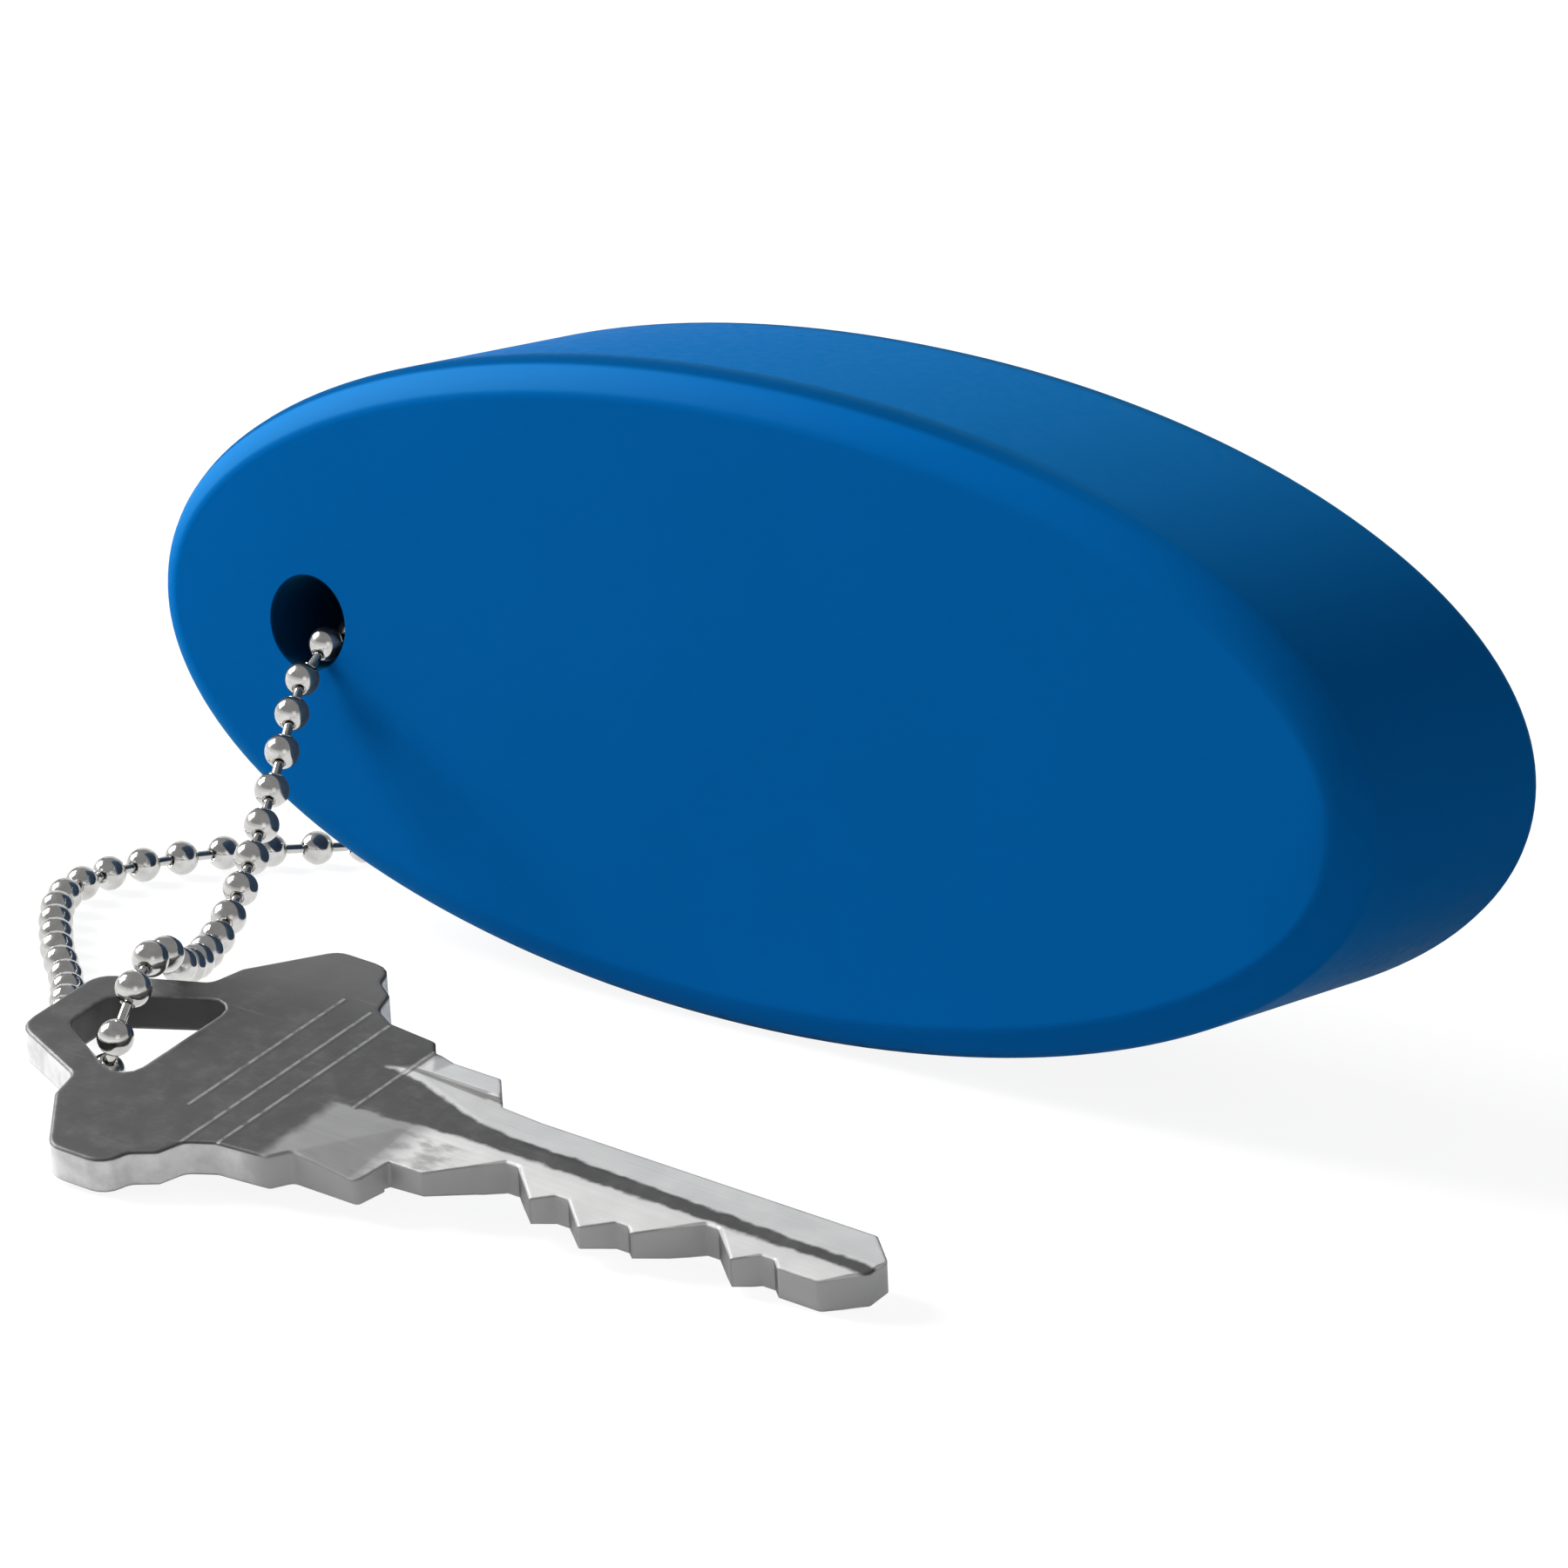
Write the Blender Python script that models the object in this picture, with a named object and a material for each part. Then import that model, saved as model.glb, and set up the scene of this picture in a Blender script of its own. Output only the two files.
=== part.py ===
# Floating keychain: an oval foam float, a loop of ball chain and a flat house key.
# Metres, +Z up. The float stands on its rim with its long axis along X, and the face
# where the chain comes out towards the key looks along -Y. The ground is z = 0.
import math

import bmesh
import bpy
from mathutils import Matrix, Quaternion, Vector

# Gap that touching solids keep
SEAT_GAP = 0.0003

# Foam float
FLOAT_LENGTH = 0.0840
FLOAT_HEIGHT = 0.0365
FLOAT_THICKNESS = 0.0190
FLOAT_FULLNESS = 2.04  # 2 is a true ellipse, more is squarer
FLOAT_EDGE_RADIUS = 0.0022
FLOAT_SIDES = 80
FLOAT_EDGE_STEPS = 3

# Hole through the float
HOLE_DIAMETER = 0.0054
HOLE_FROM_END = 0.0121  # from the float's left end to the hole's centre
HOLE_DROP = 0.0006  # how far the hole's centre lies below the long axis
HOLE_MOUTH_RADIUS = 0.0004
HOLE_SIDES = 24
HOLE_MOUTH_STEPS = 2

# Ball chain
BALL_DIAMETER = 0.0020
BALL_PITCH = 0.00290
PIN_DIAMETER = 0.00056
PIN_ENTRY = 0.00025  # how far a pin reaches into the next ball
SOCKET_CLEARANCE = 0.00014
BALL_SIDES = 10
BALL_RINGS = 5

# Coupling that closes the chain
COUPLING_WALL = 0.00025
COUPLING_SLOT = 0.00120
COUPLING_LIP = 0.00060
COUPLING_SIDES = 12
COUPLING_END_STEPS = 2
COUPLING_DROP = 0.0085  # below the hole, behind the float
COUPLING_OUT = 0.0036
COUPLING_ASIDE = -0.0006

# House key, in its own frame: u along the blade, v across it, w up from its top face
KEY_THICKNESS = 0.0020
KEY_EDGE_BREAK = 0.00012
CORNER_STEPS = 4

# The key's bow, from the shoulder to its end
BOW_LENGTH = 0.01895
BOW_END_HALF = 0.0032
BOW_WAIST = 0.0132  # from the shoulder to the notch behind the ears
BOW_WAIST_HALF = 0.0057
BOW_EAR_ROOT = 0.0127
BOW_EAR_ROOT_HALF = 0.0077
BOW_EAR_START = 0.0095
BOW_EAR_END = 0.0058
BOW_EAR_HALF = 0.0120
BOW_CUSP = 0.0042  # the point between the two scallops under each ear
BOW_CUSP_HALF = 0.0096
BOW_NECK = 0.0023
BOW_NECK_HALF = 0.0073
BOW_SCALLOP = 0.0006  # how deep the scallops are
BOW_RIM = 0.0020
BOW_HOLE_LENGTH = 0.0065
BOW_HOLE_END_HALF = 0.0017
BOW_HOLE_BASE_HALF = 0.0052
BOW_HOLE_CORNER = 0.0012
BOW_END_CORNER = 0.0016
BOW_EAR_CORNER = 0.0014
BOW_CORNER = 0.0008

# The key's stem between bow and blade, with a collar on one side and a shoulder on the other
STEM_REACH = 0.0009
STEM_HALF = 0.0070
COLLAR_START = 0.0016
COLLAR_HALF = 0.0061
COLLAR_REACH = 0.0059
COLLAR_SLANT = 0.0019
SHOULDER_HALF = 0.0059
SHOULDER_REACH = 0.0058
SHOULDER_STEP = 0.0004

# The key's blade, from the shoulder to its tip
BLADE_LENGTH = 0.0337
BLADE_BACK = 0.0038
BLADE_EDGE = 0.0037
TIP_SLANT = 0.0022
TIP_FLAT = 0.0015  # how far the tip's blunt end reaches from the slant towards the cuts
TIP_RAMP = 0.0018
KEY_CORNER = 0.0004
CUT_FIRST = 0.01195
CUT_LAST = 0.0053  # from the last cut's middle to the tip
CUT_FLAT = 0.0008
CUT_SLOPE = math.radians(42)
CUT_DEPTHS = (0.00285, 0.00165, 0.00122, 0.00333, 0.00242)

# Milled flutes of the blade: each slants down from its ridge and runs out at the bow
FLUTE_START = 0.0003
FLUTE_OVERLAP = 0.0005  # how far a flute's cutter reaches past its ridge, above the face
UPPER_RIDGE = 0.0009
UPPER_EDGE = 0.0041
UPPER_SLOPE = 0.16
UPPER_RUN_OUT = 0.0100
LOWER_RIDGE = 0.0006  # on the cuts' side
LOWER_SLOPE = 0.09
LOWER_RUN_OUT = 0.0050
COLLAR_RIDGE = 0.0044
COLLAR_SLOPE = 0.20
COLLAR_RUN_OUT = 0.0025

# Where the key lies: on its tip, its near ear and the chain under its bow
KEY_X = 0.0044
KEY_Y = -0.0465
KEY_YAW = math.radians(1.5)
KEY_TILT = math.radians(14.9)
KEY_TILT_DIRECTION = math.radians(15.4)

# Fineness of the chain's route between two of its points
ROUTE_STEPS = 24


def clear_scene():
    for obj in list(bpy.data.objects):
        bpy.data.objects.remove(obj, do_unlink=True)


def make_material(name, colour, roughness, metallic):
    material = bpy.data.materials.new(name)
    material.use_nodes = True
    shader = material.node_tree.nodes["Principled BSDF"]
    shader.inputs["Base Color"].default_value = (*colour, 1.0)
    shader.inputs["Roughness"].default_value = roughness
    shader.inputs["Metallic"].default_value = metallic
    return material


def make_object(name, shape, material=None):
    mesh = bpy.data.meshes.new(name)
    bmesh.ops.recalc_face_normals(shape, faces=shape.faces)
    shape.to_mesh(mesh)
    shape.free()
    mesh.shade_smooth()
    mesh.set_sharp_from_angle(angle=math.radians(35))
    obj = bpy.data.objects.new(name, mesh)
    bpy.context.collection.objects.link(obj)
    if material:
        mesh.materials.append(material)
    return obj


def cut(target, cutter):
    cutter.hide_render = True
    cutter.display_type = "WIRE"
    boolean = target.modifiers.new(cutter.name, "BOOLEAN")
    boolean.operation = "DIFFERENCE"
    boolean.solver = "EXACT"
    boolean.object = cutter


def prism(outline, depth):
    # a flat outline in the XY plane, drawn down from z = 0 by its depth
    shape = bmesh.new()
    top = shape.faces.new([shape.verts.new((x, y, 0.0)) for x, y in outline])
    drawn = bmesh.ops.extrude_face_region(shape, geom=[top])["geom"]
    moved = [item for item in drawn if isinstance(item, bmesh.types.BMVert)]
    bmesh.ops.translate(shape, verts=moved, vec=(0.0, 0.0, -depth))
    return shape


def break_rims(shape, width, steps, axis):
    # rounds or chamfers the edges round a prism's two flat ends
    rims = [edge for edge in shape.edges if abs(edge.verts[0].co[axis] - edge.verts[1].co[axis]) < 1e-7]
    bmesh.ops.bevel(
        shape,
        geom=rims,
        offset=width,
        segments=steps,
        profile=0.5,
        affect="EDGES",
        clamp_overlap=True,
    )


def rounded(corners):
    # an outline with an arc at each corner, from (x, y, radius)
    points = []
    count = len(corners)
    for index, (x, y, radius) in enumerate(corners):
        here = Vector((x, y))
        before = Vector(corners[index - 1][:2]) - here
        after = Vector(corners[(index + 1) % count][:2]) - here
        if radius == 0.0:
            points.append(here)
            continue
        half = before.angle(after) / 2
        reach = radius / math.tan(half)
        start = here + before.normalized() * reach
        end = here + after.normalized() * reach
        centre = here + (before.normalized() + after.normalized()).normalized() * radius / math.sin(half)
        first = start - centre
        sweep = first.angle_signed(end - centre)
        for step in range(CORNER_STEPS + 1):
            turned = first.copy()
            turned.rotate(Matrix.Rotation(-sweep * step / CORNER_STEPS, 2))
            points.append(centre + turned)
    return points


def hole_centre():
    return Vector((HOLE_FROM_END - FLOAT_LENGTH / 2, 0.0, FLOAT_HEIGHT / 2 - HOLE_DROP))


def make_float(material):
    outline = []
    for side in range(FLOAT_SIDES):
        turn = math.tau * side / FLOAT_SIDES
        across, up = math.cos(turn), math.sin(turn)
        x = math.copysign(abs(across) ** (2 / FLOAT_FULLNESS), across) * FLOAT_LENGTH / 2
        z = math.copysign(abs(up) ** (2 / FLOAT_FULLNESS), up) * FLOAT_HEIGHT / 2
        outline.append((x, z))
    shape = prism(outline, FLOAT_THICKNESS)
    break_rims(shape, FLOAT_EDGE_RADIUS, FLOAT_EDGE_STEPS, 2)
    middle = Matrix.Translation((0.0, -FLOAT_THICKNESS / 2, FLOAT_HEIGHT / 2))
    stand = middle @ Matrix.Rotation(math.pi / 2, 4, "X")
    bmesh.ops.transform(shape, matrix=stand, verts=shape.verts)
    body = make_object("float_body", shape, material)
    cut(body, make_hole_cutter())
    return body


def make_hole_cutter():
    # a turned profile with a rounded mouth at each face of the float
    radius = HOLE_DIAMETER / 2
    mouth = HOLE_MOUTH_RADIUS
    quarter = []
    for step in range(HOLE_MOUTH_STEPS + 1):
        turn = math.pi / 2 * step / HOLE_MOUTH_STEPS
        reach = FLOAT_THICKNESS / 2 - mouth * (1 - math.cos(turn))
        quarter.append((radius + mouth * (1 - math.sin(turn)), reach))
    outside = (radius + mouth, FLOAT_THICKNESS / 2 + mouth)
    side = [(0.0, outside[1]), outside] + quarter
    profile = [Vector((r, 0.0, z)) for r, z in side] + [Vector((r, 0.0, -z)) for r, z in reversed(side)]
    shape = turned(profile, HOLE_SIDES)
    place = Matrix.Translation(hole_centre()) @ Matrix.Rotation(math.pi / 2, 4, "X")
    bmesh.ops.transform(shape, matrix=place, verts=shape.verts)
    return make_object("hole_cutter", shape)


def turned(profile, sides):
    # spins a profile in the XZ plane once round Z
    shape = bmesh.new()
    verts = [shape.verts.new(point) for point in profile]
    edges = [shape.edges.new(pair) for pair in zip(verts, verts[1:])]
    bmesh.ops.spin(
        shape,
        geom=verts + edges,
        cent=(0.0, 0.0, 0.0),
        axis=(0.0, 0.0, 1.0),
        angle=math.tau,
        steps=sides,
        use_merge=True,
    )
    bmesh.ops.remove_doubles(shape, verts=shape.verts, dist=1e-7)
    return shape


def cut_edge():
    # the blade's lower edge from its heel to its tip, cut by flat-bottomed notches
    slope = math.tan(CUT_SLOPE)
    spacing = (BLADE_LENGTH - CUT_FIRST - CUT_LAST) / (len(CUT_DEPTHS) - 1)
    roots = [(CUT_FIRST + spacing * index, depth) for index, depth in enumerate(CUT_DEPTHS)]
    first, depth = roots[0]
    points = [(first - CUT_FLAT / 2 - depth / slope, 0.0)]
    for (here, depth), (there, other) in zip(roots, roots[1:]):
        points.append((here - CUT_FLAT / 2, depth))
        points.append((here + CUT_FLAT / 2, depth))
        meet = (here + there) / 2 + (depth - other) / slope / 2
        height = depth - (meet - here - CUT_FLAT / 2) * slope
        if height > 0:
            points.append((meet, height))
        else:
            points.append((here + CUT_FLAT / 2 + depth / slope, 0.0))
            points.append((there - CUT_FLAT / 2 - other / slope, 0.0))
    last, depth = roots[-1]
    tip = BLADE_EDGE - TIP_RAMP
    points.append((last - CUT_FLAT / 2, depth))
    points.append((last + CUT_FLAT / 2, depth))
    points.append((last + CUT_FLAT / 2 + (depth - tip) / slope, tip))
    return [(u, height - BLADE_EDGE, 0.0) for u, height in points]


def scallop(start, end):
    # the lowest point of a shallow hollow between two points of the outline
    here = Vector(start)
    there = Vector(end)
    outward = (there - here).orthogonal().normalized()
    return (here + there) / 2 - outward * BOW_SCALLOP


def bow_side():
    # one half of the bow's edge, from its end to its stem
    ear_end = (-BOW_EAR_END, BOW_EAR_HALF)
    cusp = (-BOW_CUSP, BOW_CUSP_HALF)
    neck = (-BOW_NECK, BOW_NECK_HALF)
    return [
        (-BOW_LENGTH, BOW_END_HALF, BOW_END_CORNER),
        (-BOW_WAIST, BOW_WAIST_HALF, BOW_CORNER),
        (-BOW_EAR_ROOT, BOW_EAR_ROOT_HALF, BOW_CORNER),
        (-BOW_EAR_START, BOW_EAR_HALF, BOW_EAR_CORNER),
        (*ear_end, BOW_EAR_CORNER),
        (*scallop(ear_end, cusp), BOW_CORNER),
        (*cusp, BOW_CORNER / 2),
        (*scallop(cusp, neck), BOW_CORNER),
        (*neck, BOW_CORNER / 2),
        (STEM_REACH, STEM_HALF, KEY_CORNER),
    ]


def key_outline():
    far = bow_side()
    near = [(u, -v, radius) for u, v, radius in reversed(far)]
    tip = BLADE_BACK - TIP_SLANT
    back = [
        (COLLAR_START, COLLAR_HALF, KEY_CORNER),
        (COLLAR_REACH, COLLAR_HALF, KEY_CORNER),
        (COLLAR_REACH + COLLAR_SLANT, BLADE_BACK, 0.0),
        (BLADE_LENGTH - TIP_SLANT, BLADE_BACK, KEY_CORNER),
        (BLADE_LENGTH, tip, KEY_CORNER),
        (BLADE_LENGTH, tip - TIP_FLAT, KEY_CORNER),
        (BLADE_LENGTH - TIP_RAMP, -TIP_RAMP, KEY_CORNER),
    ]
    shoulder = [
        (SHOULDER_REACH + SHOULDER_STEP, -BLADE_EDGE, 0.0),
        (SHOULDER_REACH, -SHOULDER_HALF, KEY_CORNER),
        (COLLAR_START, -SHOULDER_HALF, KEY_CORNER),
    ]
    return rounded(far + back + list(reversed(cut_edge())) + shoulder + near)


def key_hole_outline():
    base = BOW_LENGTH - BOW_RIM - BOW_HOLE_LENGTH
    end = BOW_LENGTH - BOW_RIM
    return rounded(
        [
            (-end, -BOW_HOLE_END_HALF, BOW_HOLE_CORNER),
            (-base, -BOW_HOLE_BASE_HALF, BOW_HOLE_CORNER),
            (-base, BOW_HOLE_BASE_HALF, BOW_HOLE_CORNER),
            (-end, BOW_HOLE_END_HALF, BOW_HOLE_CORNER),
        ]
    )


def flute_cutter(name, ridge, edge, slope, run_out, under):
    # a long wedge whose floor slants from the ridge to the edge, raised clear where it starts
    margin = KEY_THICKNESS
    inner = ridge - math.copysign(FLUTE_OVERLAP, edge - ridge)
    lift = slope * FLUTE_OVERLAP
    depth = slope * abs(edge - ridge)
    shape = bmesh.new()
    section = ((inner, lift + depth + lift), (edge, lift), (edge, margin), (inner, margin))
    start = shape.faces.new([shape.verts.new((FLUTE_START, v, w)) for v, w in section])
    last = [start]
    for reach, drop in ((run_out, depth + lift), (BLADE_LENGTH + margin - run_out - FLUTE_START, 0.0)):
        drawn = bmesh.ops.extrude_face_region(shape, geom=last)["geom"]
        moved = [item for item in drawn if isinstance(item, bmesh.types.BMVert)]
        bmesh.ops.translate(shape, verts=moved, vec=(reach, 0.0, 0.0))
        floor = [vert for vert in moved if vert.co.z < margin]
        bmesh.ops.translate(shape, verts=floor, vec=(0.0, 0.0, -drop))
        if start not in last:
            bmesh.ops.delete(shape, geom=last, context="FACES_ONLY")
        last = [item for item in drawn if isinstance(item, bmesh.types.BMFace)]
    if under:
        bmesh.ops.rotate(shape, matrix=Matrix.Rotation(math.pi, 3, "X"), verts=shape.verts)
        bmesh.ops.translate(shape, vec=(0.0, 0.0, -KEY_THICKNESS), verts=shape.verts)
    return make_object(name, shape)


def make_key(material):
    shape = prism(key_outline(), KEY_THICKNESS)
    break_rims(shape, KEY_EDGE_BREAK, 1, 2)
    turn = Matrix.Rotation(KEY_YAW, 4, "Z")
    lean = Vector((math.cos(KEY_TILT_DIRECTION), math.sin(KEY_TILT_DIRECTION), 0.0))
    turn = turn @ Matrix.Rotation(KEY_TILT, 4, lean)
    lowest = min((turn @ vert.co).z for vert in shape.verts)
    key = make_object("house_key", shape, material)
    hole = prism(key_hole_outline(), KEY_THICKNESS * 2)
    bmesh.ops.translate(hole, vec=(0.0, 0.0, KEY_THICKNESS / 2), verts=hole.verts)
    past = BOW_NECK_HALF
    cutters = [
        make_object("bow_hole_cutter", hole),
        flute_cutter("upper_flute_cutter", UPPER_RIDGE, UPPER_EDGE, UPPER_SLOPE, UPPER_RUN_OUT, False),
        flute_cutter("lower_flute_cutter", -LOWER_RIDGE, -past, LOWER_SLOPE, LOWER_RUN_OUT, False),
        flute_cutter("collar_flute_cutter", COLLAR_RIDGE, past, COLLAR_SLOPE, COLLAR_RUN_OUT, False),
        flute_cutter("under_upper_cutter", UPPER_RIDGE, UPPER_EDGE, UPPER_SLOPE, UPPER_RUN_OUT, True),
        flute_cutter("under_lower_cutter", -LOWER_RIDGE, -past, LOWER_SLOPE, LOWER_RUN_OUT, True),
    ]
    place = Matrix.Translation((KEY_X, KEY_Y, -lowest)) @ turn
    key.matrix_world = place
    for cutter in cutters:
        cutter.matrix_world = place
        cut(key, cutter)
    return place


def chain_route(key_place):
    # the closed loop through the hole, round the key's bow and back under the float
    radius = BALL_DIAMETER / 2
    hole = hole_centre()
    face = FLOAT_THICKNESS / 2
    lying = HOLE_DIAMETER / 2 - radius - SEAT_GAP
    ride = radius + SEAT_GAP

    def at_front(x, out, down):
        return hole + Vector((x, -face - out, -down))

    def at_back(x, out, down):
        return hole + Vector((x, face + out, -down))

    def on_ground(x, y, lift=0.0):
        return Vector((x, y, radius + lift))

    def at_key(u, v, above):
        return key_place @ Vector((u, v, above))

    bar = BOW_LENGTH - BOW_RIM  # the inner edge of the bow's end bar
    under = -KEY_THICKNESS - ride
    return [
        at_back(0.0, -0.0040, lying),
        at_front(0.0004, -0.0060, lying - 0.0002),
        at_front(0.0009, -0.0010, lying - 0.0004),
        at_front(0.0013, ride + 0.0006, 0.0028),
        at_front(0.0028, 0.0046, 0.0046),
        at_front(0.0051, 0.0089, 0.0080),
        at_front(0.0079, 0.0139, 0.0107),
        at_front(0.0103, 0.0184, 0.0124),
        at_front(0.0132, 0.0236, 0.0126),
        at_key(-0.0007 - bar, 0.0086, -0.0018),
        at_key(0.0004 - bar, 0.0065, 0.0001),
        at_key(0.0012 - bar, 0.0045, 0.0016),
        at_key(0.0023 - bar, 0.0021, 0.0020),
        at_key(0.0030 - bar, -0.0002, 0.0013),
        at_key(0.0032 - bar, -0.0019, -0.0006),
        at_key(0.0020 - bar, -0.0013, -0.0027),
        at_key(-0.0004 - bar, -0.0011, under - 0.0001),
        on_ground(-0.0220, -0.0380, 0.0004),
        on_ground(-0.0275, -0.0318),
        on_ground(-0.0338, -0.0257),
        on_ground(-0.0399, -0.0185),
        on_ground(-0.0419, -0.0125),
        on_ground(-0.0412, -0.0055),
        on_ground(-0.0387, -0.0003),
        on_ground(-0.0355, 0.0050),
        on_ground(-0.0335, 0.0098, 0.0004),
        at_back(-0.0016, 0.0040, 0.0140),
        at_back(-0.0008, 0.0039, 0.0100),
        at_back(-0.0003, 0.0028, 0.0058),
        at_back(0.0, ride, 0.0026),
    ]


def smooth_loop(points):
    # a closed Catmull-Rom curve through the route's points, as a fine polyline
    fine = []
    count = len(points)
    for index in range(count):
        a, b, c, d = (points[(index + offset) % count] for offset in (-1, 0, 1, 2))
        for step in range(ROUTE_STEPS):
            t = step / ROUTE_STEPS
            bend = 2 * a - 5 * b + 4 * c - d
            twist = 3 * b - a - 3 * c + d
            fine.append(0.5 * (2 * b + (c - a) * t + bend * t**2 + twist * t**3))
    return fine


def ball_centres(route):
    # spreads whole balls evenly along the closed route, at the nearest pitch that fits
    fine = smooth_loop(route)
    fine.append(fine[0])
    lengths = [0.0]
    for here, there in zip(fine, fine[1:]):
        lengths.append(lengths[-1] + (there - here).length)
    count = round(lengths[-1] / BALL_PITCH)
    centres = []
    segment = 0
    for ball in range(count):
        along = lengths[-1] * ball / count
        while lengths[segment + 1] < along:
            segment += 1
        share = (along - lengths[segment]) / (lengths[segment + 1] - lengths[segment])
        centres.append(fine[segment].lerp(fine[segment + 1], share))
    return centres


def ball_profile(reach):
    # socket, ball and pin as one half outline, from the socket's floor to the pin's end
    radius = BALL_DIAMETER / 2
    pin = PIN_DIAMETER / 2
    socket = pin + SOCKET_CLEARANCE
    mouth = math.pi - math.asin(socket / radius)
    root = math.asin(pin / radius)
    floor = PIN_ENTRY + SOCKET_CLEARANCE - radius
    profile = [Vector((0.0, 0.0, floor)), Vector((socket, 0.0, floor))]
    for ring in range(BALL_RINGS + 1):
        polar = mouth + (root - mouth) * ring / BALL_RINGS
        profile.append(Vector((radius * math.sin(polar), 0.0, radius * math.cos(polar))))
    profile.append(Vector((pin, 0.0, reach)))
    profile.append(Vector((0.0, 0.0, reach)))
    return profile


def make_ball(name, before, here, after, material):
    # the socket faces the ball before, the pin leads to the ball after, and the
    # rings in between turn step by step from one to the other
    radius = BALL_DIAMETER / 2
    turn = (here - before).to_track_quat("Z", "Y")
    onward = turn.inverted() @ (after - here)
    bend = Vector((0.0, 0.0, 1.0)).rotation_difference(onward)
    shape = turned(ball_profile(onward.length - radius + PIN_ENTRY), BALL_SIDES)
    for vert in shape.verts:
        in_socket = vert.co.length < radius * 0.99
        share = 0.0 if in_socket else min(1.0, (vert.co.z + radius) / BALL_DIAMETER)
        vert.co.rotate(Quaternion().slerp(bend, share))
    ball = make_object(name, shape, material)
    ball.rotation_mode = "QUATERNION"
    ball.rotation_quaternion = turn
    ball.location = here
    return ball


def coupling_profile():
    # the wall of a sleeve that follows its two balls, as a closed half section
    inner = BALL_DIAMETER / 2 + SEAT_GAP
    outer = inner + COUPLING_WALL
    half = BALL_PITCH / 2
    wall = []
    for radius in (inner, outer):
        last = math.asin(COUPLING_LIP / radius)
        arc = []
        for step in range(COUPLING_END_STEPS + 1):
            polar = math.pi / 2 + (last - math.pi / 2) * step / COUPLING_END_STEPS
            arc.append((radius * math.sin(polar), half + radius * math.cos(polar)))
        line = [(r, -z) for r, z in reversed(arc)] + arc
        wall += line if radius == inner else list(reversed(line))
    return [Vector((r, 0.0, z)) for r, z in wall]


def make_coupling(centres, near, material):
    # the sleeve closes over the two balls that lie nearest the given place
    count = len(centres)

    def middle(index):
        return (centres[index] + centres[(index + 1) % count]) / 2

    first = min(range(count), key=lambda index: (middle(index) - near).length)
    axis = centres[(first + 1) % count] - centres[first]
    outer = BALL_DIAMETER / 2 + SEAT_GAP + COUPLING_WALL
    slot = 2 * math.asin(COUPLING_SLOT / 2 / outer)
    shape = bmesh.new()
    section = shape.faces.new([shape.verts.new(point) for point in coupling_profile()])
    bmesh.ops.spin(
        shape,
        geom=list(section.verts) + list(section.edges) + [section],
        cent=(0.0, 0.0, 0.0),
        axis=(0.0, 0.0, 1.0),
        angle=math.tau - slot,
        steps=COUPLING_SIDES,
        use_duplicate=False,
    )
    coupling = make_object("chain_coupling", shape, material)
    coupling.rotation_mode = "QUATERNION"
    coupling.rotation_quaternion = axis.to_track_quat("Z", "Y")
    coupling.location = middle(first)
    return coupling


def build():
    clear_scene()
    foam = make_material("blue_foam", (0.004, 0.095, 0.32), 0.42, 0.0)
    nickel = make_material("nickel_plate", (0.62, 0.61, 0.60), 0.34, 1.0)
    steel = make_material("polished_steel", (0.78, 0.77, 0.76), 0.12, 1.0)
    make_float(foam)
    key_place = make_key(nickel)
    centres = ball_centres(chain_route(key_place))
    count = len(centres)
    for index, here in enumerate(centres):
        make_ball(f"ball_{index + 1:02d}", centres[index - 1], here, centres[(index + 1) % count], steel)
    behind = hole_centre() + Vector((COUPLING_ASIDE, FLOAT_THICKNESS / 2 + COUPLING_OUT, -COUPLING_DROP))
    make_coupling(centres, behind, steel)


build()
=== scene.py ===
import math
import bmesh
import bpy
import numpy as np
from mathutils import Matrix, Quaternion, Vector


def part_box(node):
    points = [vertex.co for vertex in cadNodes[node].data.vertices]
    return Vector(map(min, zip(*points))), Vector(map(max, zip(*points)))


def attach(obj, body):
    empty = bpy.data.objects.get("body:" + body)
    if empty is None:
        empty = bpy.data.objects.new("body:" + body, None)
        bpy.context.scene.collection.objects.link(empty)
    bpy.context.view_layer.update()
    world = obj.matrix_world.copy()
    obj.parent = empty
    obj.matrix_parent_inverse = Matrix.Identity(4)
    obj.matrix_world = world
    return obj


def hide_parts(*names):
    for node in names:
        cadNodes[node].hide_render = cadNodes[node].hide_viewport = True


# Floating keychain: a satin foam float, a polished ball chain and a worn nickel key
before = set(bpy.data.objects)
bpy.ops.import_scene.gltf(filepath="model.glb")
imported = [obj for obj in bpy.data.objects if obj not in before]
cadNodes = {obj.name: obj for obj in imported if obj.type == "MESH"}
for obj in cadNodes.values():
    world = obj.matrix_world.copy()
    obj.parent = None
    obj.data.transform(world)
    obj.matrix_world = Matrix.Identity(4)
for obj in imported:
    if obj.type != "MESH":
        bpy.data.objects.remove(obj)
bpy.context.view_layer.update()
ballNames = sorted(name for name in cadNodes if name.startswith("ball_"))

cameraSetup = {
    "azimuth": 36.7,  # degrees to the right of the float's front face
    "elevation": 14.05,
    "roll": 2.97,
    "distance": 0.48696,
    "lens": 199.2,
    "clip": (0.01, 50.0),
    "target": (-0.00261, 0.0, 0.01185),
}


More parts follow.
